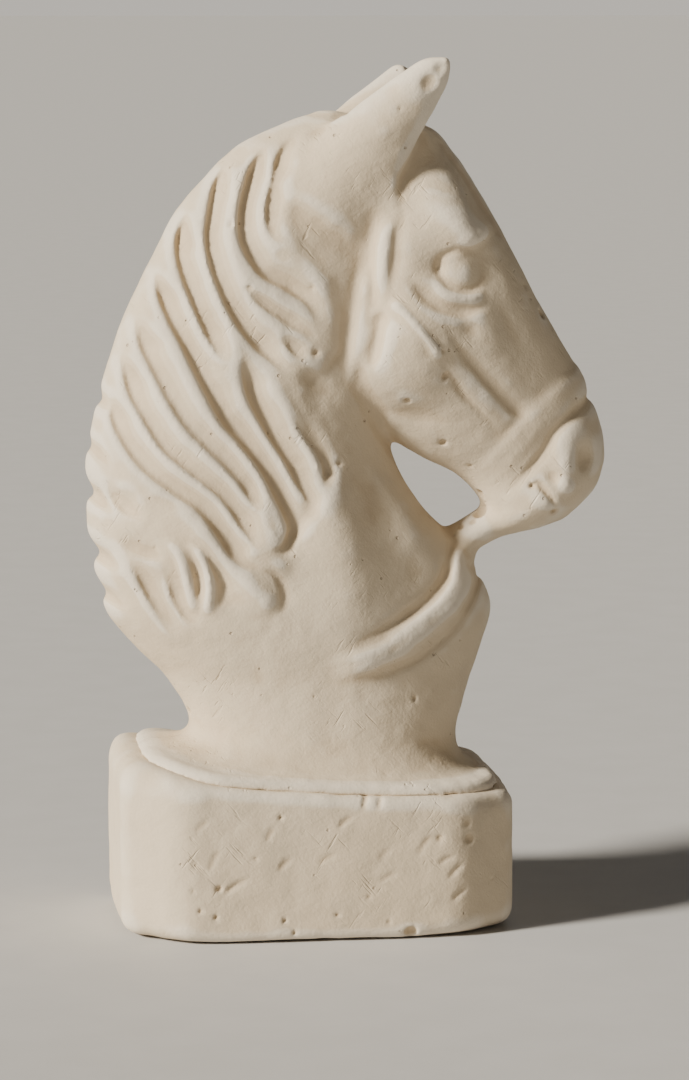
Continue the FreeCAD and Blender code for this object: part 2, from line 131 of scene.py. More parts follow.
class SideDrawing:
    """Heights over the side view, in millimetres.  Lines are lists of (X, Z) places.

    Where grooves cross the deeper one counts, and where ridges cross the higher one.
    """

    # How many straight pieces a line gets for each of its points.
    PIECES = 12
    # How far grooves and ridges reach, in half widths.
    GROOVE_REACH = 3.2
    RIDGE_REACH = 2.4
    # A groove's width at a faded end, as a share of its full width, and what it gains from there.
    END_WIDTH = 0.55
    WIDTH_GAIN = 0.45

    def __init__(self, x, z):
        self.x = x.reshape(-1, 1)
        self.z = z.reshape(1, -1)
        self.cut = np.zeros((x.size, z.size), np.float32)
        self.rise = np.zeros((x.size, z.size), np.float32)
        self.swell = np.zeros((x.size, z.size), np.float32)

    def along(self, points, reach):
        """Distance from a smooth line, share of its length, and the part of the view it covers."""
        points = np.asarray(points, float)
        share = np.linspace(0, 1, len(points))
        fine = np.linspace(0, 1, self.PIECES * len(points))
        line = np.stack([through(share, column, fine) for column in points.T], 1)
        ix = np.where((self.x[:, 0] > line[:, 0].min() - reach)
                      & (self.x[:, 0] < line[:, 0].max() + reach))[0]
        iz = np.where((self.z[0] > line[:, 1].min() - reach)
                      & (self.z[0] < line[:, 1].max() + reach))[0]
        part = (slice(ix[0], ix[-1] + 1), slice(iz[0], iz[-1] + 1))
        px, pz = self.x[part[0]], self.z[:, part[1]]
        best = np.full((px.size, pz.size), np.inf)
        where = np.zeros_like(best)
        side = np.zeros_like(best)
        for k in range(len(line) - 1):
            dx, dz = line[k + 1] - line[k]
            length2 = dx * dx + dz * dz
            t = np.clip(((px - line[k, 0]) * dx + (pz - line[k, 1]) * dz) / length2, 0, 1)
            ox, oz = px - line[k, 0] - t * dx, pz - line[k, 1] - t * dz
            distance = ox * ox + oz * oz
            nearer = distance < best
            best = np.where(nearer, distance, best)
            where = np.where(nearer, (k + t) / (len(line) - 1), where)
            side = np.where(nearer, np.sign(dx * oz - dz * ox), side)
        return np.sqrt(best), where, side, part

    @staticmethod
    def fade(where, start, end):
        """1 along the line, and 0 at each end that has a fade."""
        level = np.ones_like(where)
        if start:
            level = level * smooth_step(where, 0.0, start)
        if end:
            level = level * smooth_step(1.0 - where, 0.0, end)
        return level

    def groove(self, points, depth, width, start=0.25, end=0.25, banks=(1.0, 1.0)):
        """A soft valley, deepest along the line.

        start and end are the shares of its length in which it fades.  banks stretch its width on
        the two sides: rear and front, for a line drawn downwards.
        """
        distance, where, side, part = self.along(points, self.GROOVE_REACH * width * max(banks))
        level = self.fade(where, start, end)
        bank = np.where(side > 0, banks[1], banks[0])
        spread = width * bank * (self.END_WIDTH + self.WIDTH_GAIN * level)
        sharp = np.exp(-(distance / spread) ** 2)
        self.cut[part] = np.maximum(self.cut[part], depth * level * sharp)

    def ridge(self, points, height, width, start=0.2, end=0.2, flat=2.0):
        """A raised band.  flat is 2 for a round one, and more for one with a flat top."""
        distance, where, _, part = self.along(points, self.RIDGE_REACH * width)
        level = self.fade(where, start, end)
        self.rise[part] = np.maximum(self.rise[part],
                                     height * level * np.exp(-(distance / width) ** flat))

    def mound(self, at, size, height, lean=0.0, flat=2.0):
        """A raised oval, or a sunken one if its height is negative.  Mounds add up.

        lean turns it, in degrees.
        """
        c, s = math.cos(math.radians(lean)), math.sin(math.radians(lean))
        dx, dz = self.x - at[0], self.z - at[1]
        u = (c * dx + s * dz) / size[0]
        v = (c * dz - s * dx) / size[1]
        self.swell += height * np.exp(-np.sqrt(u * u + v * v) ** flat)

    def total(self):
        """The heights, over a lattice."""
        return (self.rise + self.swell - self.cut)[:, None, :].astype(np.float32)


# ---------- the horse's form

# Level slices of the neck: height, rear, front, half width, squareness.
NECK = [
    (70, -66, 83, 42, 2.4), (80, -64, 81, 42, 2.4), (97, -61, 78, 41, 2.3), (113, -65, 82, 40, 2.3),
    (129, -75, 87, 40, 2.2), (146, -91, 93, 42, 2.2), (163, -104, 98, 43, 2.2),
    (182, -109, 92, 44, 2.2), (203, -113, 79, 44, 2.2), (220, -114, 63, 43, 2.2),
    (238, -114, 50, 42, 2.2), (256, -112, 43, 40, 2.2), (284, -105, 44, 38, 2.2),
    (312, -96, 46, 36, 2.2), (342, -82, 48, 34, 2.2), (370, -67, 50, 30, 2.2),
    (394, -46, 52, 25, 2.1), (407, -29, 48, 19, 2.0), (415, -12, 42, 13, 2.0), (421, 4, 34, 7, 2.0),
]

# Slices square to the face: distance down the face from the forehead, how far the jaw and the
# face stand out from the straight line of the face, half width, squareness.
FOREHEAD = np.array([77.0, 0.0, 400.0])
DOWN = np.array([0.509, 0.0, -0.861])
OUT = np.array([0.861, 0.0, 0.509])
HEAD = [
    (-46, -46, -40, 3, 2.0), (-34, -58, -19, 18, 2.2), (-20, -62, -5, 27, 2.3),
    (0, -66, 0, 33, 2.4), (24, -80, 1, 37, 2.5), (46, -98, 1, 39, 2.5), (66, -114, 0, 40, 2.4),
    (88, -113, -1, 38, 2.3), (110, -104, -1, 33, 2.3), (128, -94, -1, 28, 2.3),
    (142, -85, -2, 25, 2.3), (157, -80, -4, 24, 2.3), (170, -79, -8, 25, 2.3),
    (181, -79, -15, 23, 2.2), (189, -68, -25, 17, 2.1), (195, -52, -40, 4, 2.0),
]


# How far off a form's distance is known, and how round its two ends are.
SLICES_REACH = 40.0
SLICES_END = 5.0


def slices_field(across, along, y, table, step):
    """The distance from a form given by slices.

    across and along are the side-view coordinates in a slice and between slices.
    """
    stations = [row[0] for row in table]
    low, high, width, power = [
        through(stations, [row[i] for row in table], along).astype(np.float32) for i in range(1, 5)]
    middle = (low + high) / 2
    half = np.maximum((high - low) / 2, 1.0)
    u = np.abs((across - middle) / half) ** power
    v = np.abs(y / width) ** power
    shape = (u + v) ** (1 / power) - 1.0
    distance = to_distance(shape.astype(np.float32), step, SLICES_REACH)
    # Outside, it is at least half of the distance within the slice.
    in_slice = np.sqrt((across - middle) ** 2 + y * y) * shape / (1.0 + shape)
    distance = np.maximum(distance, np.where(shape > 0, 0.5 * in_slice, -SLICES_REACH))
    past_an_end = np.maximum(stations[0] - along, along - stations[-1])
    return meet(distance, past_an_end, SLICES_END)


def side_coordinates(x, z):
    """Distance down the face, and how far out from it, for every place in the side view."""
    dx, dz = x - FOREHEAD[0], z - FOREHEAD[2]
    return dx * DOWN[0] + dz * DOWN[2], dx * OUT[0] + dz * OUT[2]


# The grooves between the locks, each down from the crest: points, depth, half width.
LOCKS = [
    ([(-6, 414), (-15, 401), (-20, 387), (-23, 374), (-22, 362), (-16, 352)], 4.2, 3.8),
    ([(-21, 406), (-28, 396), (-33, 384), (-36, 372), (-36, 360), (-32, 350), (-25, 341),
      (-13, 334), (-3, 326), (4, 312)], 6.4, 4.6),
    ([(-40, 399), (-47, 386), (-51, 372), (-53, 358), (-51, 345), (-46, 331), (-40, 319),
      (-32, 308), (-22, 298), (-12, 289)], 5.6, 4.4),
    ([(-62, 374), (-66, 362), (-67, 350), (-64, 337), (-60, 325), (-55, 313), (-50, 302),
      (-47, 290)], 6.2, 4.8),
    ([(-80, 344), (-77, 331), (-72, 318), (-66, 306), (-60, 293), (-54, 281), (-47, 268), (-38, 257),
      (-29, 245), (-22, 233), (-16, 221), (-13, 211), (-17, 203), (-26, 199)], 6.6, 5.0),
    ([(-90, 321), (-87, 307), (-81, 293), (-74, 279), (-66, 266), (-56, 255), (-46, 245),
      (-38, 235), (-32, 224), (-28, 214)], 4.8, 4.8),
    ([(-98, 303), (-95, 290), (-91, 277), (-84, 264), (-76, 252), (-66, 243), (-56, 235),
      (-47, 227), (-40, 217), (-34, 207), (-30, 199)], 5.0, 4.6),
    ([(-104, 284), (-102, 271), (-98, 259), (-91, 248), (-82, 239), (-71, 231), (-60, 223),
      (-52, 213), (-46, 203), (-39, 194), (-28, 190)], 5.0, 4.8),
    ([(-107, 238), (-104, 228), (-97, 221), (-86, 216)], 3.2, 3.6),
    ([(-37, 304), (-36, 291), (-33, 279), (-28, 268), (-22, 257), (-15, 246), (-10, 236),
      (-5, 226), (-5, 215)], 5.6, 4.2),
    ([(-39, 339), (-32, 330), (-20, 321), (-8, 313), (2, 305)], 2.8, 3.2),
    ([(-28, 358), (-20, 348), (-9, 340)], 2.2, 3.0),
    ([(-21, 313), (-12, 303), (-4, 297)], 2.6, 2.8),
    ([(-18, 275), (-8, 262), (0, 251), (5, 240), (4, 231)], 3.4, 3.4),
    ([(-68, 205), (-63, 193), (-61, 181), (-62, 169)], 2.8, 2.2),
    ([(-60, 203), (-53, 192), (-49, 182), (-51, 168)], 2.6, 2.4),
    ([(-80, 194), (-75, 183), (-71, 173), (-64, 164), (-56, 159)], 3.6, 3.8),
    ([(-98, 198), (-89, 184), (-82, 171), (-75, 159), (-64, 148)], 3.4, 4.0),
    ([(-32, 190), (-24, 189), (-19, 182), (-18, 173), (-20, 163)], 2.2, 2.4),
    ([(-104, 208), (-96, 202), (-86, 198), (-76, 196)], 2.2, 3.4),
]

# Strands that stand up between the grooves at the foot of the mane: points, height, half width.
STRANDS = [
    ([(-80, 208), (-72, 200), (-68, 190), (-66, 179), (-63, 166)], 2.2, 2.8),
    ([(-68, 208), (-61, 199), (-57, 189), (-56, 178), (-57, 166)], 2.4, 2.8),
    ([(-78, 228), (-64, 216), (-52, 204), (-41, 191), (-31, 179), (-22, 167)], 2.6, 6.0),
    ([(-104, 200), (-95, 186), (-86, 172), (-77, 160), (-66, 150)], 1.8, 4.4),
    ([(-30, 296), (-20, 281), (-9, 264), (-1, 250), (3, 238)], 1.6, 4.0),
]

# The notches that the outer locks leave in the outline of the nape, which cross it as ribs: points,
# depth, half width.
NAPE_NOTCHES = [
    ([(-132, 236), (-114, 228), (-100, 216)], 4.4, 4.4),
    ([(-132, 204), (-113, 197), (-98, 188)], 5.0, 4.6),
    ([(-130, 182), (-110, 176), (-94, 166)], 4.0, 4.2),
    ([(-126, 284), (-107, 275), (-99, 262)], 2.6, 4.2),
    ([(-132, 258), (-113, 251), (-102, 238)], 2.0, 3.8),
]

# The pits that the tips of the locks leave: place, half sizes, depth, lean.
LOCK_PITS = [
    ((2, 284), (9, 4.5), 4.8, -36), ((-45, 178), (6, 10), 1.2, 10), ((-14, 180), (7, 11), 1.2, -6),
    ((-3, 222), (5, 9), 2.2, 14), ((7, 237), (4, 6), 1.6, 12), ((-13, 202), (6, 4), 1.4, 35),
]

# Over what length the groove of a lock deepens and ends, and the most of its length for that.
LOCK_START = 20.0
LOCK_END = 26.0
MOST_START = 0.5
MOST_END = 0.4
# Its rear and its front bank, and its width against the table's.
STEEP_REAR = (0.66, 1.75)
LOCK_WIDTH = 1.1
# The wide valley round it: its depth and its width, as shares of the groove's.
VALLEY_DEPTH = 0.3
VALLEY_WIDTH = 2.0
STRAND_FADES = (0.3, 0.12)
NOTCH_FADES = (0.0, 0.45)


def draw_mane(x, z):
    """The locks, which lie over the neck and end in tips on its side."""
    drawing = SideDrawing(x, z)
    for points, depth, width in LOCKS:
        length = sum(math.dist(a, b) for a, b in zip(points, points[1:]))
        start = min(MOST_START, LOCK_START / length)
        end = min(MOST_END, LOCK_END / length)
        drawing.groove(points, depth, LOCK_WIDTH * width, start, end, STEEP_REAR)
        drawing.groove(points, VALLEY_DEPTH * depth, VALLEY_WIDTH * width, start, end)
    for strand in STRANDS:
        drawing.ridge(*strand, *STRAND_FADES)
    for notch in NAPE_NOTCHES:
        drawing.groove(*notch, *NOTCH_FADES)
    for at, half, depth, lean in LOCK_PITS:
        drawing.mound(at, half, -depth, lean)
    return drawing.total()


# The front edge of the mane, from the poll down, and over what distances it fades in behind that
# edge and above the foot of the neck.
MANE_EDGE = [(30, 430), (2, 412), (-6, 400), (-12, 385), (-12, 366), (-4, 352), (8, 338), (13, 320),
             (12, 302), (4, 292), (-4, 280), (2, 266), (8, 252), (11, 240), (7, 229), (-2, 216),
             (-12, 203), (-15, 192), (-15, 176), (-20, 164), (-40, 152), (-50, 60)]
MANE_EDGE_FADE = (-4.0, 6.0)
MANE_FOOT_FADE = (140.0, 185.0)


def mane_cover(x, z):
    """1 where the mane lies over the neck and 0 clear of it, seen from the side."""
    edge = np.asarray(MANE_EDGE, float)
    reach = np.interp(z.ravel(), edge[::-1, 1], edge[::-1, 0])
    inside = smooth_step(reach[None, :] - x.reshape(-1, 1), *MANE_EDGE_FADE)
    return inside * smooth_step(z.reshape(1, -1), *MANE_FOOT_FADE)


def draw_neck(x, z):
    """The rein, and the hollows and swellings of the neck and chest."""
    drawing = SideDrawing(x, z)
    # The rein's flat band, the line under it and the line over it.
    drawing.ridge([(94, 196), (79, 190), (77, 178), (65, 165), (50, 154), (37, 146), (22, 141),
                   (2, 136)], 2.8, 6.6, 0.0, 0.2, 4.0)
    drawing.groove([(90, 180), (82, 167), (73, 155), (57, 143), (41, 136), (25, 132)], 1.4, 2.4,
                   0.0, 0.4)
    drawing.groove([(75, 203), (73, 189), (66, 176), (54, 167), (34, 157), (11, 148)], 2.3, 2.4,
                   0.3, 0.4, (2.0, 0.8))
    # The hollow front of the neck, its muscles, and the chest.
    drawing.mound((60, 205), (30, 50), -5.0, 20)
    drawing.mound((30, 216), (10, 40), -1.6, 20)
    drawing.mound((14, 196), (16, 56), 3.4, 6)
    drawing.mound((48, 216), (8, 34), 2.0, 28)
    drawing.mound((2, 232), (8, 16), 1.8, 20)
    drawing.mound((58, 182), (12, 14), -1.6, 40)
    drawing.mound((-8, 160), (30, 16), 1.6)
    return drawing.total()


def draw_head(x, z):
    """Bridle straps, cheek, eye, nostril and mouth."""
    drawing = SideDrawing(x, z)
    # The cheek, the strap on its back edge and the strap that comes down from the ear.
    drawing.mound((45, 301), (24, 25), 4.0, 0, 3.4)
    drawing.mound((54, 268), (16, 6), -2.6, -14)
    drawing.ridge([(29, 352), (24, 330), (20, 306), (15, 281)], 3.6, 5.0, 0.3, 0.08, 2.4)
    drawing.ridge([(37, 374), (35, 356), (33, 338), (31, 322)], 2.6, 4.6, 0.3, 0.4, 2.4)
    drawing.groove([(46, 376), (42, 360), (40, 344), (38, 331)], 1.3, 2.8, 0.4, 0.45, (1.0, 1.7))
    drawing.groove([(35, 324), (32, 308), (28, 290)], 3.4, 3.4, 0.25, 0.3)
    drawing.ridge([(37, 328), (44, 322), (54, 311), (65, 297)], 2.0, 2.4, 0.25, 0.1)
    drawing.ridge([(40, 322), (50, 310), (58, 300)], 1.0, 6.0, 0.3, 0.4)
    # The cheekpiece: a flat band between two thin lines, down to the noseband.
    drawing.ridge([(68, 301), (80, 285), (92, 273), (104, 260)], 0.7, 6.0, 0.4, 0.1, 2.6)
    drawing.groove([(63, 322), (73, 303), (87, 287), (98, 275), (112, 262)], 2.0, 3.0, 0.5, 0.15,
                   (0.8, 1.8))
    drawing.groove([(62, 300), (75, 280), (87, 268), (100, 254)], 1.3, 1.5, 0.3, 0.6, (1.0, 1.4))
    # Brow, temple, socket, eyeball and lids.
    drawing.mound((78, 342), (17, 13), -5.0, 0, 2.6)
    drawing.mound((59, 346), (13, 10), -1.8)
    drawing.ridge([(48, 379), (60, 374), (72, 368), (80, 361), (85, 353)], 5.6, 9.4, 0.6, 0.2)
    drawing.groove([(64, 418), (77, 398), (88, 380), (97, 362), (106, 342)], 4.0, 8.5, 0.15, 0.45,
                   (1.0, 1.3))
    drawing.mound((76, 343), (11.0, 10.2), 4.0, -12, 2.0)
    drawing.ridge([(63, 350), (70, 355), (78, 356.5), (86, 353)], 1.2, 2.0, 0.35, 0.35)
    drawing.groove([(86, 351), (79, 353), (71, 352.5), (64, 348), (64.5, 340), (70, 334), (78, 332),
                    (85, 335), (88, 342)], 1.3, 1.9, 0.2, 0.3)
    drawing.ridge([(59, 341), (64, 333), (72, 328.5), (82, 328), (90, 333)], 1.2, 2.4, 0.3, 0.3)
    drawing.mound((64, 344), (3.4, 4.4), -1.6, -30)
    drawing.groove([(46, 341), (52, 333), (60, 326), (70, 322), (80, 321.5), (91, 326)], 3.0, 3.2,
                   0.35, 0.3, (1.0, 1.4))
    # The hollow of the face in front of the bone below the eye.
    drawing.mound((102, 312), (9, 30), -1.8, 31)
    drawing.mound((80, 312), (7, 5), -1.4, -50)
    # Nostril, muzzle, mouth and chin.
    drawing.mound((138, 248), (12, 17), 3.2, 16, 3.2)
    drawing.mound((142.8, 242.6), (5.8, 8.6), -6.0, -8, 1.9)
    drawing.groove([(116, 233), (121, 227), (125, 222), (129, 217)], 2.0, 1.7, 0.2, 0.35)
    drawing.mound((132, 229.6), (6.0, 3.6), 2.4, -40)
    drawing.mound((126, 233), (4.0, 3.0), -1.6, -40)
    drawing.mound((122, 221), (8, 5), 1.4, -20)
    return drawing.total()


def draw_temple(x, z):
    """The deep hollow between the front edge of the ear and the forehead."""
    drawing = SideDrawing(x, z)
    drawing.groove([(65, 424), (59, 411), (52, 399), (46, 388), (45, 374), (46, 360)], 5.8, 5.4,
                   0.4, 0.8, (0.8, 3.4))
    return drawing.total()


def draw_noseband(x, z):
    """The noseband, from the bridge of the nose down to the chin, and the valley in front of it."""
    drawing = SideDrawing(x, z)
    drawing.ridge([(158, 293), (148, 287), (138, 280.5), (128, 273), (118, 264.5), (109.5, 255),
                   (102, 245.5), (94, 235.5), (88, 228)], 1.5, 7.0, 0.0, 0.3, 3.6)
    drawing.groove([(162, 284), (152, 276.5), (144, 271), (134, 264.5), (126, 257), (122, 249.5),
                    (115, 240), (106, 230), (97, 221)], 1.8, 2.4, 0.0, 0.3, (0.8, 1.5))
    return drawing.total()


# ---------- ears and chin strut

# The axis of an ear, and its slices: share of the length, how far the middle lies in front of the
# axis, half size fore and aft, half thickness.
EAR_ROOT = np.array([22.0, 20.0, 386.0])
EAR_TIP = np.array([65.0, 29.0, 448.0])
EAR = [(-0.25, -4.4, 25, 15), (0.0, -5.2, 23, 14.5), (0.25, -4.8, 20.6, 13.5), (0.5, -3.4, 17.4, 12),
       (0.7, -1.6, 13.9, 9.8), (0.85, -0.4, 11.0, 8.0), (0.95, 0.2, 9.0, 6.8), (1.1, 0.8, 7.0, 5.6)]
EAR_LINE = EAR_TIP - EAR_ROOT
EAR_LENGTH = float(np.linalg.norm(EAR_LINE))
EAR_REACH = 30.0
# The tip is chipped off at the top and in front: how high and how far forward it reaches.
CHIP_TOP = 450.5
CHIP_FRONT = 70.0
CHIP_EDGE = 4.0
# The hollow of an ear: the shares of the length it covers, its middle and half sizes as shares of
# the slice's, and how softly it ends and meets the outside.
DISH_ENDS = (0.2, 0.9)
DISH_MIDDLE = (1.0, -0.42)
DISH_HALF = (0.72, 0.58)
DISH_FADE = 8.0
DISH_EDGE = 2.5


def along_ear(x, y, z):
    """The share of an ear's length at a place.  y is the distance out from the middle plane."""
    return ((x - EAR_ROOT[0]) * EAR_LINE[0] + (y - EAR_ROOT[1]) * EAR_LINE[1]
            + (z - EAR_ROOT[2]) * EAR_LINE[2]) / EAR_LENGTH ** 2


def ear_field(x, y, z, step):
    """One ear: a leaning cone, smooth behind and hollowed in front."""
    axis = EAR_LINE / EAR_LENGTH
    fore = np.cross((0.0, 1.0, 0.0), axis)
    fore /= np.linalg.norm(fore)
    out = np.cross(axis, fore)
    px, py, pz = x - EAR_ROOT[0], y - EAR_ROOT[1], z - EAR_ROOT[2]
    share = along_ear(x, y, z)
    stations = [row[0] for row in EAR]
    middle, a, b = [through(stations, [row[i] for row in EAR], share).astype(np.float32)
                    for i in (1, 2, 3)]
    u = px * fore[0] + py * fore[1] + pz * fore[2] - middle
    v = px * out[0] + py * out[1] + pz * out[2]
    cone = np.sqrt((u / a) ** 2 + (v / b) ** 2) - 1.0
    past_an_end = EAR_LENGTH * np.maximum(share - stations[-1], stations[0] - share)
    solid = meet(to_distance(cone, step, EAR_REACH), past_an_end, CHIP_EDGE)
    solid = meet(meet(solid, z - CHIP_TOP, CHIP_EDGE), x - CHIP_FRONT, CHIP_EDGE)
    dish = np.sqrt(((u - DISH_MIDDLE[0] * a) / (DISH_HALF[0] * a)) ** 2
                   + ((v - DISH_MIDDLE[1] * b) / (DISH_HALF[1] * b)) ** 2) - 1.0
    past_dish = EAR_LENGTH * np.maximum(share - DISH_ENDS[1], DISH_ENDS[0] - share)
    dish = meet(to_distance(dish, step, EAR_REACH), past_dish, DISH_FADE)
    return carve(solid, dish, DISH_EDGE)


# The strut from the chest up to the chin: its ends, its radius at each, its stretch across Y.
STRUT_ENDS = ((82, 0, 199), (104, 0, 211))
STRUT_RADII = (8.5, 9.5)
STRUT_STRETCH = 1.35


def strut_field(x, y, z):
    """A rod with round ends that tapers between two radii."""
    (start, end), (r_start, r_end) = STRUT_ENDS, STRUT_RADII
    line = np.subtract(end, start)
    t = ((x - start[0]) * line[0] + (y - start[1]) * line[1] + (z - start[2]) * line[2])
    t = np.clip(t / float(line @ line), 0, 1)
    dx = x - start[0] - t * line[0]
    dy = (y - start[1] - t * line[1]) / STRUT_STRETCH
    dz = z - start[2] - t * line[2]
    return np.sqrt(dx * dx + dy * dy + dz * dz) - (r_start + (r_end - r_start) * t)


# ---------- bubbles and chips

# How soft their rims are, and how far past the rim a field is changed.
DENT_EDGE = 0.8
DENT_MARGIN = 3.0
# The least and most radius of a scattered bubble, and its depth as a share of that.
BUBBLE_RADIUS = (0.75, 1.2)
BUBBLE_DEPTH = (0.5, 0.8)


def press_ball(field, axes, at, radius):
    """Takes a small ball away from a field, in place."""
    x, y, z = axes
    reach = radius + DENT_EDGE + DENT_MARGIN
    part = tuple(slice(*np.searchsorted(line.ravel(), (c - reach, c + reach)))
                 for line, c in zip(axes, at))
    near = field[part]
    if near.size == 0:
        return
    gap = np.sqrt((x[part[0]] - at[0]) ** 2 + (y[:, part[1]] - at[1]) ** 2
                  + (z[:, :, part[2]] - at[2]) ** 2) - radius
    field[part] = carve(near, gap, DENT_EDGE)


def dent(field, axes, x, z, radius, depth, side=-1):
    """Presses a small ball into the surface that is seen first from one side, at a place."""
    ix = int(np.argmin(np.abs(axes[0].ravel() - x)))
    iz = int(np.argmin(np.abs(axes[2].ravel() - z)))
    inside = np.where(field[ix, :, iz] < 0)[0]
    if inside.size == 0:
        return
    y = axes[1].ravel()[inside[0] if side < 0 else inside[-1]] + side * (radius - depth)
    press_ball(field, axes, (x, y, z), radius)


def scatter_dents(field, axes, count, seed, low, high):
    """Air bubbles at random places on both sides, between two corners of the side view."""
    draw = np.random.default_rng(seed)
    for _ in range(count):
        radius = draw.uniform(*BUBBLE_RADIUS)
        dent(field, axes, draw.uniform(low[0], high[0]), draw.uniform(low[1], high[1]), radius,
             draw.uniform(*BUBBLE_DEPTH) * radius, draw.choice((-1, 1)))


# Bubbles and chips on the near side: X, Z, radius, depth.
MARKS = [
    (47.6, 275.6, 1.6, 1.6), (67.9, 252.3, 2.0, 2.2), (114.8, 229.0, 1.6, 1.8), (126.8, 215.2, 1.7, 1.8),
    (83.0, 239.0, 1.3, 1.0), (66.4, 288.3, 1.8, 1.2), (81.0, 211.3, 2.4, 1.8), (91.4, 215.4, 2.6, 1.6),
    (90.9, 223.7, 2.2, 1.4), (86.0, 209.0, 2.0, 1.2), (85.0, 361.0, 2.2, 0.7), (112.0, 333.0, 1.6, 0.7),
    (82.5, 209.5, 2.2, 1.8), (80.0, 206.0, 1.8, 1.6), (89.5, 220.0, 2.6, 1.2), (90.0, 214.0, 4.2, 1.3),
    (59.0, 438.0, 9.0, 0.8), (64.5, 445.0, 7.0, 0.9), (121.0, 318.0, 2.6, 1.0), (-42.5, 366.5, 1.8, 1.4),
    (-34.0, 334.0, 1.6, 1.2), (12.0, 244.0, 1.4, 1.0), (-63.0, 111.0, 2.2, 1.8), (0.0, 301.0, 1.6, 1.0),
]

# ---------- plinth and foot

# The plinth's hollow top: the radius of its curve, its lowest place, and how much and over what
# distance its rear end is lifted.
TOP_RADIUS = 1130.0
TOP_LOWEST = (84.0, 73.2)
REAR_LIFT = 6.0
REAR_LIFT_SPAN = (50.0, 105.0)
# Its outline: half sizes, how much its ends and sides bulge, and its cut corners.
PLINTH_HALF = (103.5, 68.0)
BULGE = (3.0, 1.6)
CORNER_NORMAL = (0.5547, 0.832)
CORNER_REACH = 96.4
# The foot: how far it is set in, and further at the rear, and how high its step is.
FOOT_MARGIN = 7.0
FOOT_SET_BACK = 5.0
FOOT_EDGE = 6.0
# The mound on it: height, half sizes, and where it starts to fall and has gone, in half sizes.
FOOT_RISE = 11.0
MOUND_HALF = (88.0, 54.0)
MOUND_FALL = (0.3, 1.05)
# How round it is at its corners and its top edge, how much more so at the rear, and where that is.
FOOT_CORNERS = 12.0
FOOT_ROUNDING = 6.0
FOOT_REAR_ROUNDING = 8.0
FOOT_REAR = (50.0, 95.0)


def plinth_top(x):
    """The height of the plinth's hollow top at a place along it."""
    off = x - TOP_LOWEST[0]
    lift = REAR_LIFT * smooth_step(-x, *REAR_LIFT_SPAN)
    return TOP_LOWEST[1] + TOP_RADIUS - np.sqrt(TOP_RADIUS ** 2 - off * off) + lift


def cut_corner_outline(x, y, margin, soft):
    """The distance, seen from above, from a slightly barrelled block with cut corners."""
    ax, ay = np.abs(x), np.abs(y)
    ends = ax - PLINTH_HALF[0] + margin + BULGE[0] * (ay / PLINTH_HALF[1]) ** 2
    sides = ay - PLINTH_HALF[1] + margin + BULGE[1] * (ax / PLINTH_HALF[0]) ** 2
    corners = CORNER_NORMAL[0] * ax + CORNER_NORMAL[1] * ay - CORNER_REACH + margin
    return meet(meet(ends, sides, soft), corners, soft)


def foot_field(x, y, z):
    """The stepped foot that the neck grows out of, with a low mound on it."""
    rear_end = smooth_step(-x, *FOOT_REAR)
    outline = cut_corner_outline(x, y, FOOT_MARGIN, FOOT_CORNERS) + FOOT_SET_BACK * rear_end
    spread = np.sqrt((np.abs(x / MOUND_HALF[0])) ** 3 + (np.abs(y) / MOUND_HALF[1]) ** 3)
    top = plinth_top(x) + FOOT_EDGE + FOOT_RISE * (1.0 - smooth_step(spread, *MOUND_FALL))
    return meet(outline, z - top, FOOT_ROUNDING + FOOT_REAR_ROUNDING * rear_end)


def wrap(half):
    """A whole field from its far half, y > 0."""
    return np.concatenate([half[:, ::-1], half], axis=1)


def both_sides(y):
    """The whole axis across, from its far half."""
    return np.concatenate([-y[:, ::-1], y], axis=1)


def half_lattice(low, high, step):
    """A lattice over y > 0 whose mirror image leaves y = 0 midway between two layers."""
    x, _, z = lattice(low, high, step)
    count = int(high[1] / step) + 1
    y = (step * (np.arange(count) + 0.5)).astype(np.float32).reshape(1, -1, 1)
    return x, y, z


BUST_LOW = (-127.0, 0.0, 68.0)
BUST_HIGH = (167.0, 64.0, 459.0)
# How far the mane lies over the neck, and how much of the locks' relief is left clear of it.
MANE_LIFT = 1.8
LOCKS_LEFT = 0.25
# Over what distance from the middle plane the relief of the face and of the temple comes in.
FACE_FADE = (5.0, 15.0)
TEMPLE_FADE = (12.0, 24.0)
# How large the fillets are where the forms meet.
HEAD_FILLET = 6.0
EAR_FILLET = 12.0
STRUT_FILLET = 6.0
FOOT_FILLET = 13.0
# The uneven surface, broad and fine: points to a cell and seed, and depth.
ROUGH = (10.0, 5)
FINE = (4.0, 6)
ROUGH_DEPTH = 0.34
FINE_DEPTH = 0.16
# The far ear's break: the share of its length that is left, how uneven and how sharp the break is,
# and the height under which nothing is taken away.
BREAK_AT = 0.87
BREAK_ROUGH = 1.5
BREAK_FINE = 2.0
BREAK_EDGE = 2.0
BREAK_LOWEST = 370.0
FAR_OUTSIDE = 40.0
# Scattered bubbles: how many, seed, and two corners of the side view.
BUST_BUBBLES = (20, 31, (-110, 110), (150, 430))
PLINTH_BUBBLES = (16, 32, (-96, 4), (96, 80))
# The hollow: how thick the wall is round it, and its floor.
WALL = 14.0
FLOOR_OF_HOLLOW = 97.0
HOLLOW_STEP = 3.0


def plain_forms(x, y, z, step):
    """The neck and the head with no detail on them."""
    t, o = side_coordinates(x, z)
    neck = slices_field(x, z, y, NECK, step)
    head = slices_field(o, t, y, HEAD, step)
    return neck, head


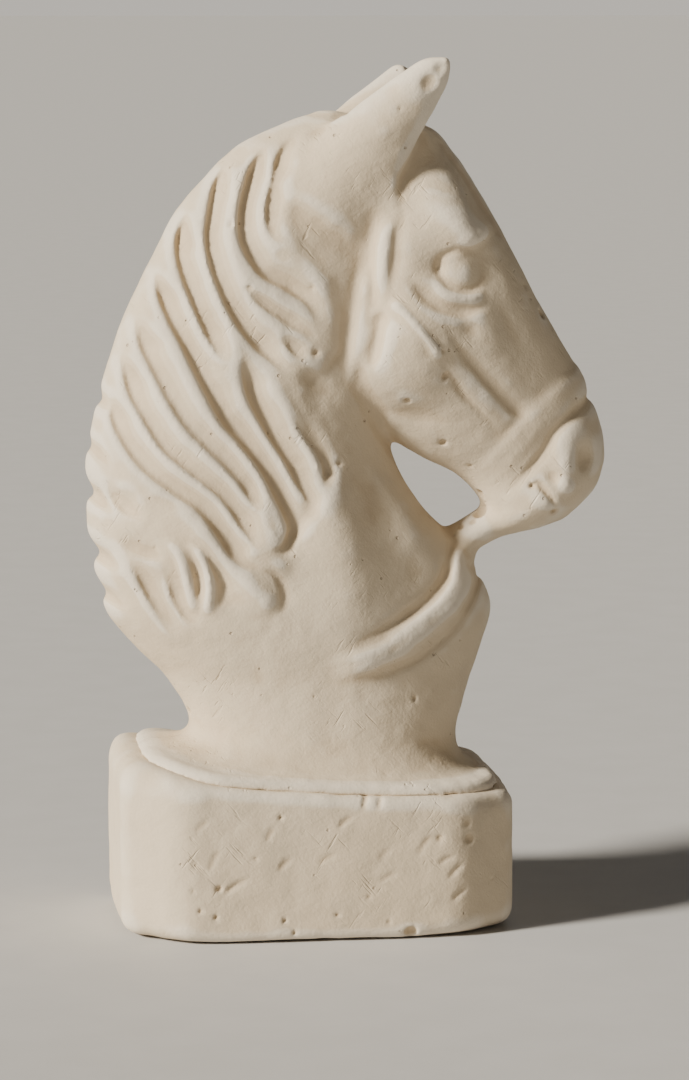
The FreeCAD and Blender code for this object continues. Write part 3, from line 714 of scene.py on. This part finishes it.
def bust_field():
    """The outside of the whole horse and foot, and its lattice."""
    x, y, z = half_lattice(BUST_LOW, BUST_HIGH, SHELL_STEP)
    neck, head = plain_forms(x, y, z, SHELL_STEP)

    cover = mane_cover(x, z)[:, None, :].astype(np.float32)
    locks = draw_mane(x, z)
    neck = neck - MANE_LIFT * cover - locks * (LOCKS_LEFT + (1.0 - LOCKS_LEFT) * cover)
    neck = neck - draw_neck(x, z) * (1.0 - cover)

    off_middle = smooth_step(y, *FACE_FADE).astype(np.float32)
    head = head - draw_head(x, z) * off_middle - draw_noseband(x, z)

    bust = join(neck, head, HEAD_FILLET)
    bust = join(bust, ear_field(x, y, z, SHELL_STEP), EAR_FILLET)
    bust = bust - draw_temple(x, z) * smooth_step(y, *TEMPLE_FADE).astype(np.float32)
    bust = join(bust, strut_field(x, y, z), STRUT_FILLET)
    bust = join(bust, foot_field(x, y, z), FOOT_FILLET)
    bust = np.maximum(bust, plinth_top(x) - z)

    whole = wrap(bust.astype(np.float32))
    axes = x, y, z = x, both_sides(y), z
    rough = ripple(whole.shape, *ROUGH)
    fine = ripple(whole.shape, *FINE)
    broken = (BREAK_AT - along_ear(x, y, z)) * EAR_LENGTH + BREAK_FINE * fine + BREAK_ROUGH * rough
    broken = np.where(y > 0, np.maximum(broken, BREAK_LOWEST - z), FAR_OUTSIDE)
    whole = carve(whole, broken, BREAK_EDGE)
    whole += ROUGH_DEPTH * rough + FINE_DEPTH * fine
    for mark in MARKS:
        dent(whole, axes, *mark)
    scatter_dents(whole, axes, *BUST_BUBBLES)
    return whole, axes


def hollow_field():
    """The hollow inside the shells, on a coarser lattice."""
    x, y, z = half_lattice(BUST_LOW, BUST_HIGH, HOLLOW_STEP)
    neck, head = plain_forms(x, y, z, HOLLOW_STEP)
    hollow = np.maximum(join(neck, head, HEAD_FILLET) + WALL, FLOOR_OF_HOLLOW - z)
    return wrap(hollow.astype(np.float32)), (x, both_sides(y), z)


# Scratches on the plinth's near face: two ends, depth.
SCRATCHES = [
    ([(6.7, 58.4), (16.5, 66.5)], 0.9), ([(-23.9, 36.9), (-15.8, 45.1)], 0.8),
    ([(-54.0, 24.7), (-37.2, 35.4)], 1.0), ([(66.0, 18.0), (76.0, 27.0)], 0.9),
    ([(-66.0, 58.0), (-58.0, 66.0)], 0.5), ([(28.0, 30.0), (40.0, 36.0)], 0.6),
    ([(-30.0, 52.0), (-24.0, 62.0)], 0.6), ([(48.0, 42.0), (57.0, 56.0)], 0.6),
    ([(58.0, 38.0), (70.0, 44.0)], 0.7), ([(-60.0, 36.0), (-52.0, 52.0)], 0.5),
    ([(20.0, 68.0), (24.0, 76.0)], 0.9), ([(28.0, 68.0), (31.0, 75.0)], 0.7),
    ([(64.0, 30.0), (74.0, 40.0)], 0.8), ([(-4.0, 40.0), (8.0, 47.0)], 0.5),
    ([(-70.0, 44.0), (-58.0, 36.0)], 0.5), ([(36.0, 50.0), (28.0, 40.0)], 0.4),
]
# How far their middles are bowed, their half width, how they fade, and how far out on the side of the
# plinth they come in.
SCRATCH_BOW = 0.8
SCRATCH_WIDTH = 1.25
SCRATCH_FADE = 0.35
NEAR_FACE = (40.0, 55.0)
# Bubbles, chips and the notch on the near face: X, Z, radius, depth.
PLINTH_MARKS = [
    (76.0, 60.0, 4.6, 0.8), (77.0, 51.7, 4.0, 0.7), (6.7, 14.5, 1.0, 1.1), (-15.3, 5.5, 1.0, 0.9),
    (-20.4, 12.4, 0.9, 0.9), (-55.6, 15.0, 1.1, 1.1), (33.7, 9.9, 1.0, 1.0), (-54.0, 29.8, 1.8, 1.0),
    (45.0, 3.5, 3.6, 3.0), (60.0, 53.0, 2.2, 0.6),
]
PLINTH_LOW = (-112, -76, -4)
PLINTH_HIGH = (112, 76, 100)
BLOCK_BOTTOM = 1.0
# How far the block's top goes up into the foot.
TOP_OVERLAP = 0.4
# How round its corners are; and its top and bottom edge, in the middle, and how much more so at the
# front end and the rear end, which have these distances along X.
PLINTH_CORNERS = 5.5
TOP_ROUNDING = (6.0, 4.0, 12.0)
BOTTOM_ROUNDING = (6.0, 5.0, 7.0)
FRONT_END = (20.0, 100.0)
REAR_END = (45.0, 100.0)
# Its uneven surface: depth, points to a cell, seed.
PLINTH_RIPPLES = [(0.5, 22.0, 11), (0.22, 7.0, 12)]


def draw_scratches(x, z):
    """The scratches, each a line that is bowed a little."""
    drawing = SideDrawing(x, z)
    for (start, end), depth in SCRATCHES:
        middle = ((start[0] + end[0]) / 2 - SCRATCH_BOW, (start[1] + end[1]) / 2 + SCRATCH_BOW)
        drawing.groove([start, middle, end], depth, SCRATCH_WIDTH, SCRATCH_FADE, SCRATCH_FADE)
    return drawing.total()


def plinth_field():
    """The plinth, and its lattice."""
    axes = x, y, z = lattice(PLINTH_LOW, PLINTH_HIGH, PLINTH_STEP)
    outline = cut_corner_outline(x, y, 0.0, PLINTH_CORNERS)
    front_end = smooth_step(x, *FRONT_END)
    rear_end = smooth_step(-x, *REAR_END)
    top_round, bottom_round = [middle + front * front_end + rear * rear_end
                               for middle, front, rear in (TOP_ROUNDING, BOTTOM_ROUNDING)]
    block = meet(outline, z - plinth_top(x) - TOP_OVERLAP, top_round)
    block = meet(block, BLOCK_BOTTOM - z, bottom_round).astype(np.float32)
    block += sum(depth * ripple(block.shape, cells, seed) for depth, cells, seed in PLINTH_RIPPLES)
    block -= draw_scratches(x, z) * smooth_step(-y, *NEAR_FACE).astype(np.float32)
    for mark in PLINTH_MARKS:
        dent(block, axes, *mark)
    scatter_dents(block, axes, *PLINTH_BUBBLES)
    return block, axes


# ---------- fields into meshes


# How many lattice points about each one the recesses are measured against.
RECESS_RADIUS = 4


def blurred(field, radius):
    """A box blur along each axis."""
    for axis in range(3):
        total = np.cumsum(np.pad(field, [(radius + 1, radius) if a == axis else (0, 0)
                                         for a in range(3)], mode="edge"), axis, dtype=np.float64)
        count = field.shape[axis]
        upper = np.take(total, np.arange(2 * radius + 1, count + 2 * radius + 1), axis)
        lower = np.take(total, np.arange(0, count), axis)
        field = ((upper - lower) / (2 * radius + 1)).astype(np.float32)
    return field


def read_field(field, axes, step, points):
    """A field's values at points, between the lattice's own."""
    low = np.array([line.ravel()[0] for line in axes])
    place = (points - low) / step
    i = np.clip(place.astype(int), 0, np.array(field.shape) - 2)
    t = place - i
    value = np.zeros(len(points))
    for corner in np.ndindex(2, 2, 2):
        weight = np.prod(np.where(corner, t, 1 - t), axis=1)
        value += weight * field[tuple((i + corner).T)]
    return value


def surface_of(field, axes, step):
    """Points, in millimetres, and quads of a field's surface, facing out."""
    grid = openvdb.FloatGrid(5.0)
    grid.copyFromArray(field.astype(np.float32))
    points, quads = grid.convertToQuads(isovalue=0.0)
    low = np.array([line.ravel()[0] for line in axes])
    return points * step + low, quads[:, ::-1]


def mesh_object(name, points, faces):
    """A mesh object from points in millimetres."""
    mesh = bpy.data.meshes.new(name)
    mesh.from_pydata((points * MM).tolist(), [], faces.tolist())
    obj = bpy.data.objects.new(name, mesh)
    bpy.context.scene.collection.objects.link(obj)
    return obj


def half_of(points, quads, step, side):
    """The part of a mesh on one side of y = 0.  Its middle layer of points is moved onto y = 0."""
    points = points.copy()
    middle = np.abs(points[:, 1]) < 0.5 * step
    points[middle, 1] = 0.0
    kept = quads[(side * points[quads, 1] >= 0).all(axis=1) & ~middle[quads].all(axis=1)]
    used, renumbered = np.unique(kept, return_inverse=True)
    return points[used], renumbered.reshape(kept.shape)


def shell_mesh(name, outer, inner, side):
    """One half of the horse: its outside, its hollow, and the flat face where the halves meet."""
    outer_points, outer_quads = half_of(*outer, SHELL_STEP, side)
    inner_points, inner_quads = half_of(*inner, HOLLOW_STEP, side)
    points = np.vstack([outer_points, inner_points])
    quads = np.vstack([outer_quads, inner_quads[:, ::-1] + len(outer_points)])
    obj = mesh_object(name, points, quads)
    mesh = bmesh.new()
    mesh.from_mesh(obj.data)
    for face in mesh.faces:
        face.smooth = True
    rim = [edge for edge in mesh.edges if edge.is_boundary]
    filled = bmesh.ops.triangle_fill(mesh, edges=rim, use_beauty=True, normal=(0, -side, 0))
    for face in filled["geom"]:
        if isinstance(face, bmesh.types.BMFace):
            face.smooth = False
            if face.normal.y * side > 0:
                face.normal_flip()
    mesh.to_mesh(obj.data)
    mesh.free()
    return obj


def add_attribute(obj, name, values):
    layer = obj.data.attributes.new(name, "FLOAT", "POINT")
    layer.data.foreach_set("value", np.asarray(values, np.float32))


def points_of(obj):
    """A mesh's points, in millimetres."""
    flat = np.empty(3 * len(obj.data.vertices), np.float32)
    obj.data.vertices.foreach_get("co", flat)
    return flat.reshape(-1, 3) / MM


def mark_recesses(obj, field, axes, step):
    """Stores how hollow (below 0) or proud (above 0) the surface is at each point."""
    proud = blurred(field, RECESS_RADIUS) - field
    add_attribute(obj, "proud", read_field(proud, axes, step, points_of(obj)))


# ---------- materials


class Shader:
    """A small helper that builds one node material."""

    def __init__(self, name):
        self.material = bpy.data.materials.new(name)
        self.material.use_nodes = True
        self.tree = self.material.node_tree
        self.surface = self.tree.nodes["Principled BSDF"]

    def node(self, kind, **settings):
        made = self.tree.nodes.new(kind)
        for key, value in settings.items():
            if key in made.inputs:
                made.inputs[key].default_value = value
            else:
                setattr(made, key, value)
        return made

    def link(self, source, target):
        self.tree.links.new(source, target)

    def position(self, scale=(1, 1, 1), turn=(0, 0, 0)):
        """Object coordinates, turned and then stretched."""
        turned = self.node("ShaderNodeMapping", Rotation=turn)
        self.link(self.node("ShaderNodeTexCoord").outputs["Object"], turned.inputs["Vector"])
        stretched = self.node("ShaderNodeMapping", Scale=scale)
        self.link(turned.outputs["Vector"], stretched.inputs["Vector"])
        return stretched.outputs["Vector"]

    def noise(self, scale, detail=4.0, roughness=0.55, stretch=(1, 1, 1), turn=(0, 0, 0)):
        made = self.node("ShaderNodeTexNoise", Scale=scale, Detail=detail, Roughness=roughness)
        self.link(self.position(stretch, turn), made.inputs["Vector"])
        return made.outputs["Fac"]

    def cells(self, scale):
        made = self.node("ShaderNodeTexVoronoi", Scale=scale)
        self.link(self.position(), made.inputs["Vector"])
        return made.outputs["Distance"]

    def attribute(self, name):
        return self.node("ShaderNodeAttribute", attribute_name=name).outputs["Fac"]

    def levels(self, source, low, high, to_low=0.0, to_high=1.0):
        made = self.node("ShaderNodeMapRange")
        made.interpolation_type = "SMOOTHSTEP"
        for key, value in zip(("From Min", "From Max", "To Min", "To Max"),
                              (low, high, to_low, to_high)):
            made.inputs[key].default_value = value
        self.link(source, made.inputs["Value"])
        return made.outputs["Result"]

    def math(self, operation, a, b):
        made = self.node("ShaderNodeMath", operation=operation)
        for socket, value in zip(made.inputs, (a, b)):
            if isinstance(value, (int, float)):
                socket.default_value = value
            else:
                self.link(value, socket)
        return made.outputs["Value"]

    def mix(self, share, a, b):
        """A mixture of two colours."""
        made = self.node("ShaderNodeMix", data_type="RGBA")
        for socket, value in zip((made.inputs[0], made.inputs[6], made.inputs[7]), (share, a, b)):
            if isinstance(value, tuple):
                socket.default_value = (*value, 1.0)
            elif isinstance(value, float):
                socket.default_value = value
            else:
                self.link(value, socket)
        return made.outputs[2]

    def bump(self, height, depth, strength, under=None):
        """A bump that is depth metres high, over another one."""
        made = self.node("ShaderNodeBump", Strength=strength, Distance=depth)
        self.link(height, made.inputs["Height"])
        if under is not None:
            self.link(under, made.inputs["Normal"])
        return made.outputs["Normal"]


# Painted shade: the warm brown that is laid into the hollows of the plaster.
HOLLOW_SHADE = (0.50, 0.37, 0.22)
RUBBED = (0.93, 0.89, 0.82)
# Painted shade: the dark brown that stands for the shade inside the pits of the air bubbles.
BUBBLE_SHADE = (0.42, 0.32, 0.22)


def plaster(name, base, warm, grey):
    """Old matt plaster: brushed while wet, pricked with air bubbles, with painted shade darkening its
    hollows and the pits of its bubbles.
    """
    s = Shader(name)
    proud = s.attribute("proud")
    broad = s.noise(9.0, 3.0)
    blotch = s.noise(42.0, 5.0, 0.6)
    fine = s.noise(700.0, 3.0, 0.6)
    brush = s.noise(320.0, 3.0, 0.55, (1.0, 0.6, 0.34), (0.0, 0.7, 0.0))
    scrape = s.noise(260.0, 4.0, 0.6, (0.4, 0.6, 1.0), (0.0, 0.45, 0.3))
    hollow = s.levels(proud, -0.02, -0.34)
    hollow_shade = s.math("MULTIPLY", hollow, s.levels(blotch, 0.25, 0.75, 0.35, 1.0))
    worn = s.levels(proud, 0.22, 0.6)
    colour = s.mix(s.levels(broad, 0.35, 0.7, 0.0, 0.45), base, warm)
    colour = s.mix(s.levels(blotch, 0.5, 0.72, 0.0, 0.3), colour, grey)
    # Painted shade: the hollows are darkened towards a warm brown, unevenly in blotches.
    colour = s.mix(s.math("MULTIPLY", hollow_shade, 0.42), colour, HOLLOW_SHADE)
    colour = s.mix(s.math("MULTIPLY", worn, 0.35), colour, RUBBED)
    # Painted shade: dark dots inside scattered air bubbles; the last bump below also dents them.
    bubbles = s.cells(170.0)
    chosen = s.levels(s.noise(60.0, 1.0), 0.6, 0.66)
    prick = s.math("MULTIPLY", s.levels(bubbles, 0.16, 0.08), chosen)
    colour = s.mix(s.math("MULTIPLY", prick, 0.5), colour, BUBBLE_SHADE)
    s.link(colour, s.surface.inputs["Base Color"])
    s.link(s.levels(blotch, 0.3, 0.7, 0.72, 0.9), s.surface.inputs["Roughness"])
    s.surface.inputs["Specular IOR Level"].default_value = 0.28
    normal = s.bump(s.noise(90.0, 5.0, 0.6), 0.0009, 0.5)
    normal = s.bump(s.math("MULTIPLY", brush, scrape), 0.0007, 0.5, normal)
    normal = s.bump(fine, 0.00025, 0.7, normal)
    for turn in (0.75, -0.6):
        strokes = s.levels(s.noise(420.0, 2.0, 0.5, (1.0, 0.4, 0.14), (0.0, turn, 0.0)), 0.62, 0.74)
        scored = s.math("MULTIPLY", strokes, s.levels(s.noise(30.0, 2.0), 0.52, 0.64))
        normal = s.bump(s.math("SUBTRACT", 1.0, scored), 0.0004, 0.7, normal)
    normal = s.bump(s.math("SUBTRACT", 1.0, prick), 0.0006, 1.0, normal)
    s.link(normal, s.surface.inputs["Normal"])
    return s.material


def metal(name, colour, dark, roughness):
    s = Shader(name)
    grain = s.noise(500.0, 3.0, 0.6, (1, 1, 12))
    patch = s.noise(60.0, 4.0, 0.6)
    s.link(s.mix(s.levels(patch, 0.4, 0.7), colour, dark), s.surface.inputs["Base Color"])
    s.link(s.levels(grain, 0.3, 0.7, roughness - 0.08, roughness + 0.12),
           s.surface.inputs["Roughness"])
    s.surface.inputs["Metallic"].default_value = 1.0
    s.link(s.bump(grain, 0.0001, 0.5), s.surface.inputs["Normal"])
    return s.material


def hardwood(name):
    s = Shader(name)
    grain = s.noise(220.0, 5.0, 0.6, (1, 1, 0.07))
    s.link(s.mix(s.levels(grain, 0.35, 0.65), (0.62, 0.44, 0.26), (0.42, 0.27, 0.14)),
           s.surface.inputs["Base Color"])
    s.surface.inputs["Roughness"].default_value = 0.6
    s.link(s.bump(grain, 0.0002, 0.6), s.surface.inputs["Normal"])
    return s.material


def felt(name):
    s = Shader(name)
    fibre = s.noise(1400.0, 5.0, 0.7)
    s.link(s.mix(s.levels(fibre, 0.35, 0.7), (0.10, 0.075, 0.055), (0.19, 0.15, 0.115)),
           s.surface.inputs["Base Color"])
    s.surface.inputs["Roughness"].default_value = 0.95
    s.surface.inputs["Sheen Weight"].default_value = 0.4
    s.link(s.bump(fibre, 0.0006, 0.9), s.surface.inputs["Normal"])
    return s.material


def give(obj, material):
    obj.data.materials.clear()
    obj.data.materials.append(material)


# ---------- making the pieces


def ride_as(obj, node):
    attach(obj, "root")
    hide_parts(node)


cast = plaster("cast_plaster", (0.705, 0.598, 0.445), (0.65, 0.528, 0.365), (0.57, 0.49, 0.38))

bust, bust_axes = bust_field()
outer = surface_of(bust, bust_axes, SHELL_STEP)
hollow, hollow_axes = hollow_field()
inner = surface_of(hollow, hollow_axes, HOLLOW_STEP)
for name, node, side in (("near_half", "near_shell", -1), ("far_half", "far_shell", 1)):
    shell = shell_mesh(name, outer, inner, side)
    mark_recesses(shell, bust, bust_axes, SHELL_STEP)
    give(shell, cast)
    ride_as(shell, node)

block, block_axes = plinth_field()
plinth = mesh_object("plinth", *surface_of(block, block_axes, PLINTH_STEP))
plinth.data.shade_smooth()
mark_recesses(plinth, block, block_axes, PLINTH_STEP)
give(plinth, cast)
ride_as(plinth, "plinth_block")

inner_pieces = [
    (plaster("bonding_plaster", (0.78, 0.73, 0.65), (0.74, 0.67, 0.57), (0.70, 0.67, 0.62)),
     ("neck_wad", "crest_wad", "poll_wad", "muzzle_wad")),
    (metal("mild_steel", (0.36, 0.34, 0.32), (0.22, 0.16, 0.12), 0.42),
     ("mast", "muzzle_arm", "cross_pins")),
    (metal("zinc_steel", (0.66, 0.66, 0.64), (0.52, 0.53, 0.54), 0.34),
     ("upper_washer", "upper_nut", "lower_washer", "lower_nut")),
    (metal("tie_wire", (0.58, 0.58, 0.57), (0.44, 0.43, 0.42), 0.38),
     ("lashings", "ear_armatures", "chin_wire")),
    (hardwood("hardwood"), ("locating_dowels",)),
    (felt("brown_felt"), ("base_felt",)),
]
for material, nodes in inner_pieces:
    for node in nodes:
        give(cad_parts[node], material)

# ---------- floor, light and camera


def make_floor():
    bpy.ops.mesh.primitive_plane_add(size=300.0)
    floor = bpy.context.object
    floor.name = "floor"
    s = Shader("floor")
    speck = s.noise(30.0, 4.0)
    s.link(s.mix(s.levels(speck, 0.3, 0.7), (0.555, 0.55, 0.545), (0.575, 0.57, 0.565)),
           s.surface.inputs["Base Color"])
    s.surface.inputs["Roughness"].default_value = 0.7
    give(floor, s.material)


def make_sun(name, towards, watts, spread, colour):
    """A soft sun.  towards points from the model to it, and spread is its width in degrees."""
    lamp = bpy.data.lights.new(name, "SUN")
    lamp.energy = watts
    lamp.angle = math.radians(spread)
    lamp.color = colour
    obj = bpy.data.objects.new(name, lamp)
    obj.rotation_euler = Vector(towards).to_track_quat("Z", "Y").to_euler()
    bpy.context.scene.collection.objects.link(obj)


# The haze: its colour from the horizon up to a quarter of its height, and above it.
HAZE_LOW = (0.63, 0.59, 0.53)
HAZE_HIGH = (0.03, 0.027, 0.023)
HAZE_TOP = 0.22


def make_world():
    """A pale haze near the horizon that gets darker overhead."""
    world = bpy.data.worlds.new("world")
    world.use_nodes = True
    tree = world.node_tree
    height = tree.nodes.new("ShaderNodeSeparateXYZ")
    tree.links.new(tree.nodes.new("ShaderNodeTexCoord").outputs["Generated"], height.inputs[0])
    ramp = tree.nodes.new("ShaderNodeValToRGB")
    low, high = ramp.color_ramp.elements
    low.position, low.color = HAZE_TOP * 0.25, (*HAZE_LOW, 1)
    high.position, high.color = HAZE_TOP, (*HAZE_HIGH, 1)
    tree.links.new(height.outputs["Z"], ramp.inputs["Fac"])
    background = tree.nodes["Background"]
    tree.links.new(ramp.outputs["Color"], background.inputs["Color"])
    background.inputs["Strength"].default_value = 1.0
    bpy.context.scene.world = world


def make_camera():
    """The photograph's view: a little to the rear of square, and a little from above."""
    azimuth = math.radians(-7.5)
    elevation = math.radians(8.0)
    distance = 2.0
    target = Vector((0.0195, 0.0, 0.199))
    back = Vector((math.sin(azimuth) * math.cos(elevation),
                   -math.cos(azimuth) * math.cos(elevation),
                   math.sin(elevation)))
    camera = bpy.data.cameras.new("camera")
    camera.lens = 127.2
    camera.sensor_fit = "VERTICAL"
    camera.sensor_height = 36.0
    obj = bpy.data.objects.new("camera", camera)
    obj.location = target + distance * back
    obj.rotation_euler = (-back).to_track_quat("-Z", "Y").to_euler()
    bpy.context.scene.collection.objects.link(obj)
    bpy.context.scene.camera = obj


make_floor()
make_sun("key", (-1.85, -0.7, 1.0), 7.4, 10.0, (1.0, 0.93, 0.81))
make_sun("rim", (0.5, 1.6, 1.4), 0.2, 25.0, (1.0, 0.97, 0.93))
make_world()
make_camera()
